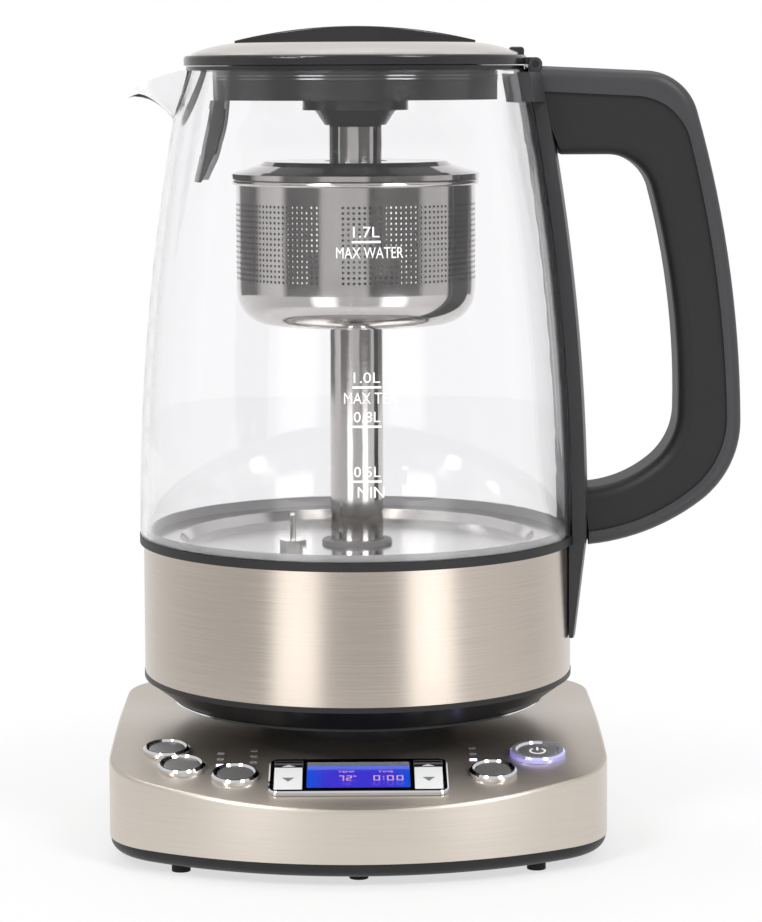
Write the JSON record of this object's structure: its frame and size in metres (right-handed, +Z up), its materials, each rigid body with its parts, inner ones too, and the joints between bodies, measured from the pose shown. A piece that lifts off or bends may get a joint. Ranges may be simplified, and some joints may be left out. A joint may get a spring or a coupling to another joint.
{
  "type": "automatic tea maker",
  "caption": "Glass electric tea maker: jug with a lifting tea basket on a column, hinged lid and handle, on a power base with a lit screen, rocker keys and round buttons.",
  "frame": {"origin": "where the jug's axis meets the floor under the power base", "axes": "+X from the jug's axis to its handle, -Y to the control panel's front, +Z up"},
  "size_m": [0.2206, 0.1956, 0.2844],
  "materials": {
    "brushed_steel": "fine level brushing, warm satin sheen",
    "polished_steel": "polished stainless steel",
    "steel_mesh": "dark fine mesh",
    "black_plastic": "black, satin moulded",
    "grip_plastic": "black, soft satin grip",
    "black_seal": "black silicone",
    "rubber": "matt black",
    "clear_silicone": "translucent silicone",
    "glass": "clear, with pale printed level marks on the front",
    "clear_plastic": "clear moulded",
    "lamp_plastic": "clear, lit blue-violet from below where on",
    "bright_trim": "bright plated frame",
    "screen": "lit blue liquid crystal screen",
    "key_silver": "silver key with printed arrows",
    "button_grey": "grey metallic cap",
    "pale_plastic": "natural nylon",
    "component_plastic": "dark moulded housings",
    "circuit_board": "green circuit board",
    "fastener_steel": "plain plated steel",
    "brass": "bright",
    "aluminium": "cast, plain"
  },
  "bodies": {
    "power_base": {"base_housing": "black_plastic", "base_feet": "rubber", "base_shell": "brushed_steel", "seat_pedestal": "black_plastic", "base_plug": "black_plastic", "plug_contacts": "brass", "base_screws": "fastener_steel", "cord_inlet": "rubber", "power_board": "circuit_board", "power_components": "component_plastic", "control_board": "circuit_board", "display_bezel": "bright_trim", "display_lens": "clear_plastic", "lcd_panel": "screen", "display_carrier": "pale_plastic", "rocker_pins": "fastener_steel", "indicator_lamps": "lamp_plastic", "button_rings": "clear_plastic", "power_light_ring": "lamp_plastic"},
    "left_rear_cap": {"left_rear_button": "button_grey"},
    "left_middle_cap": {"left_middle_button": "button_grey"},
    "left_front_cap": {"left_front_button": "button_grey"},
    "right_front_cap": {"right_front_button": "button_grey"},
    "power_cap": {"power_button": "button_grey"},
    "temperature_key": {"temperature_rocker": "key_silver"},
    "timer_key": {"timer_rocker": "key_silver"},
    "jug_connector": {"jug_socket": "black_plastic"},
    "jug": {"glass_jug": "glass", "lower_seal": "black_seal", "steel_band": "brushed_steel", "band_trim_ring": "black_plastic", "jug_base_cover": "black_plastic", "jug_fasteners": "fastener_steel", "floor_pan": "polished_steel", "heat_plate": "aluminium", "heating_element": "fastener_steel", "temperature_probe": "polished_steel", "mouth_collar": "black_plastic", "spout_filter_frame": "black_plastic", "spout_filter_mesh": "steel_mesh", "handle_bracket": "black_plastic", "handle_spine": "black_plastic", "handle_grip": "grip_plastic", "hinge_pin": "fastener_steel", "column_tube": "polished_steel", "column_seal": "clear_silicone", "screw_bearings": "pale_plastic", "lift_motor": "fastener_steel"},
    "lid": {"lid_rim": "black_plastic", "lid_cap": "brushed_steel", "lift_bar": "black_plastic", "lid_plug": "black_plastic", "lid_seal": "clear_silicone", "lid_cone": "black_plastic"},
    "basket": {"tea_basket": "polished_steel", "basket_sleeve": "polished_steel", "basket_magnets": "polished_steel"},
    "basket_cover": {"basket_lid": "polished_steel"},
    "carriage": {"magnet_carriage": "fastener_steel"},
    "screw": {"lead_screw": "fastener_steel"}
  },
  "joints": [
    {"name": "left_rear_press", "type": "slide", "parent": "power_base", "child": "left_rear_cap", "axis": [0, 0.1293, -0.9916], "range_m": [0, 0.001], "stiffness_N_per_m": 800, "springref_m": -0.0005},
    {"name": "left_middle_press", "type": "slide", "parent": "power_base", "child": "left_middle_cap", "axis": [0, 0.1671, -0.9859], "range_m": [0, 0.001], "stiffness_N_per_m": 800, "springref_m": -0.0005},
    {"name": "left_front_press", "type": "slide", "parent": "power_base", "child": "left_front_cap", "axis": [0, 0.1866, -0.9824], "range_m": [0, 0.001], "stiffness_N_per_m": 800, "springref_m": -0.0005},
    {"name": "right_front_press", "type": "slide", "parent": "power_base", "child": "right_front_cap", "axis": [0, 0.1817, -0.9834], "range_m": [0, 0.001], "stiffness_N_per_m": 800, "springref_m": -0.0005},
    {"name": "power_press", "type": "slide", "parent": "power_base", "child": "power_cap", "axis": [0, 0.1415, -0.9899], "range_m": [0, 0.001], "stiffness_N_per_m": 800, "springref_m": -0.0005},
    {"name": "temperature_rock", "type": "hinge", "parent": "power_base", "child": "temperature_key", "pos_m": [-0.0236, -0.06743, 0.02592], "axis": [1, 0, 0], "range_deg": [-3, 3], "stiffness_Nm_per_rad": 0.3},
    {"name": "timer_rock", "type": "hinge", "parent": "power_base", "child": "timer_key", "pos_m": [0.0236, -0.06743, 0.02592], "axis": [1, 0, 0], "range_deg": [-3, 3], "stiffness_Nm_per_rad": 0.3},
    {"name": "jug_lift", "type": "slide", "parent": "power_base", "child": "jug_connector", "axis": [0, 0, 1], "range_m": [0, 0.06]},
    {"name": "jug_swivel", "type": "hinge", "parent": "jug_connector", "child": "jug", "pos_m": [0, 0, 0.0468], "axis": [0, 0, 1], "continuous": true},
    {"name": "lid_hinge", "type": "hinge", "parent": "jug", "child": "lid", "pos_m": [0.0627, 0, 0.271], "axis": [0, 1, 0], "range_deg": [0, 85]},
    {"name": "basket_lift", "type": "slide", "parent": "jug", "child": "basket", "axis": [0, 0, 1], "range_m": [-0.06, 0]},
    {"name": "basket_lid_lift", "type": "slide", "parent": "basket", "child": "basket_cover", "axis": [0, 0, 1], "range_m": [0, 0.009]},
    {"name": "carriage_slide", "type": "slide", "parent": "jug", "child": "carriage", "axis": [0, 0, 1], "range_m": [-0.06, 0]},
    {"name": "screw_spin", "type": "hinge", "parent": "jug", "child": "screw", "pos_m": [0, 0, 0.08], "axis": [0, 0, 1], "range_deg": [-0.5, 1800.5]}
  ],
  "couplings": [
    {"joint": "carriage_slide", "follows": "basket_lift", "ratio": 1},
    {"joint": "screw_spin", "follows": "basket_lift", "rad_per_m": -523.6}
  ]
}
